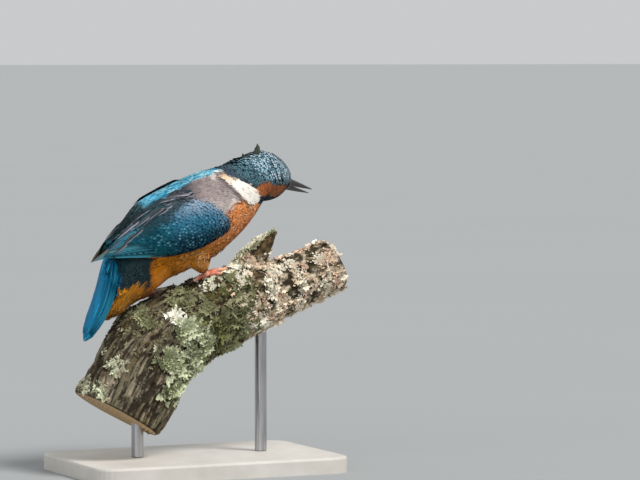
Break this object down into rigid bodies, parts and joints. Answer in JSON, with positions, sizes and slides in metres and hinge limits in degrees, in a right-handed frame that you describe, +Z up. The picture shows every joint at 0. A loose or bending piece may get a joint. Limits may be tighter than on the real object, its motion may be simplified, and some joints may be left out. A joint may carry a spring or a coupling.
{
  "type": "kingfisher model on a branch",
  "caption": "Life-size still model of a common kingfisher leaning along a short cut length of lichen-covered branch, held on a plain display stand.",
  "frame": {"origin": "centre of the stand base's underside, on the floor", "axes": "+X is the way the bird's body faces, +Y its left side, +Z up"},
  "size_m": [0.1503, 0.088, 0.158],
  "materials": {
    "plumage_orange": "short soft orange feathers of the breast, belly and thighs, matt",
    "plumage_blue": "dark teal crown and nape feathers with pale azure spots, slightly glossy",
    "wing_feathers": "blue-green folded wing feathers with pale blue spots on the coverts, satin",
    "tail_feathers": "bright blue tail feathers and coverts, satin",
    "bill_horn": "dark grey horn, satin",
    "eye": "polished near-black brown",
    "foot_skin": "scaled coral red skin",
    "claw_horn": "dark brown horn",
    "bark": "weathered grey-brown bark with grey-green and cream lichen",
    "base_paint": "flat pale grey painted wood",
    "rod_steel": "brushed steel"
  },
  "bodies": {
    "root": {"trunk": "plumage_orange", "neck": "plumage_blue", "head": "plumage_blue", "bill_upper": "bill_horn", "bill_lower": "bill_horn", "eye_left": "eye", "eye_right": "eye", "wing_left": "wing_feathers", "wing_right": "wing_feathers", "tail": "tail_feathers", "thigh_left": "plumage_orange", "thigh_right": "plumage_orange", "foot_left": "foot_skin", "foot_right": "foot_skin", "perch_stem": "bark", "perch_branch": "bark", "perch_spur": "bark", "stand_base": "base_paint", "stand_rod_rear": "rod_steel", "stand_rod_front": "rod_steel", "claw_inner_left": "claw_horn", "claw_middle_left": "claw_horn", "claw_outer_left": "claw_horn", "claw_hind_left": "claw_horn", "claw_inner_right": "claw_horn", "claw_middle_right": "claw_horn", "claw_outer_right": "claw_horn", "claw_hind_right": "claw_horn"}
  },
  "joints": []
}
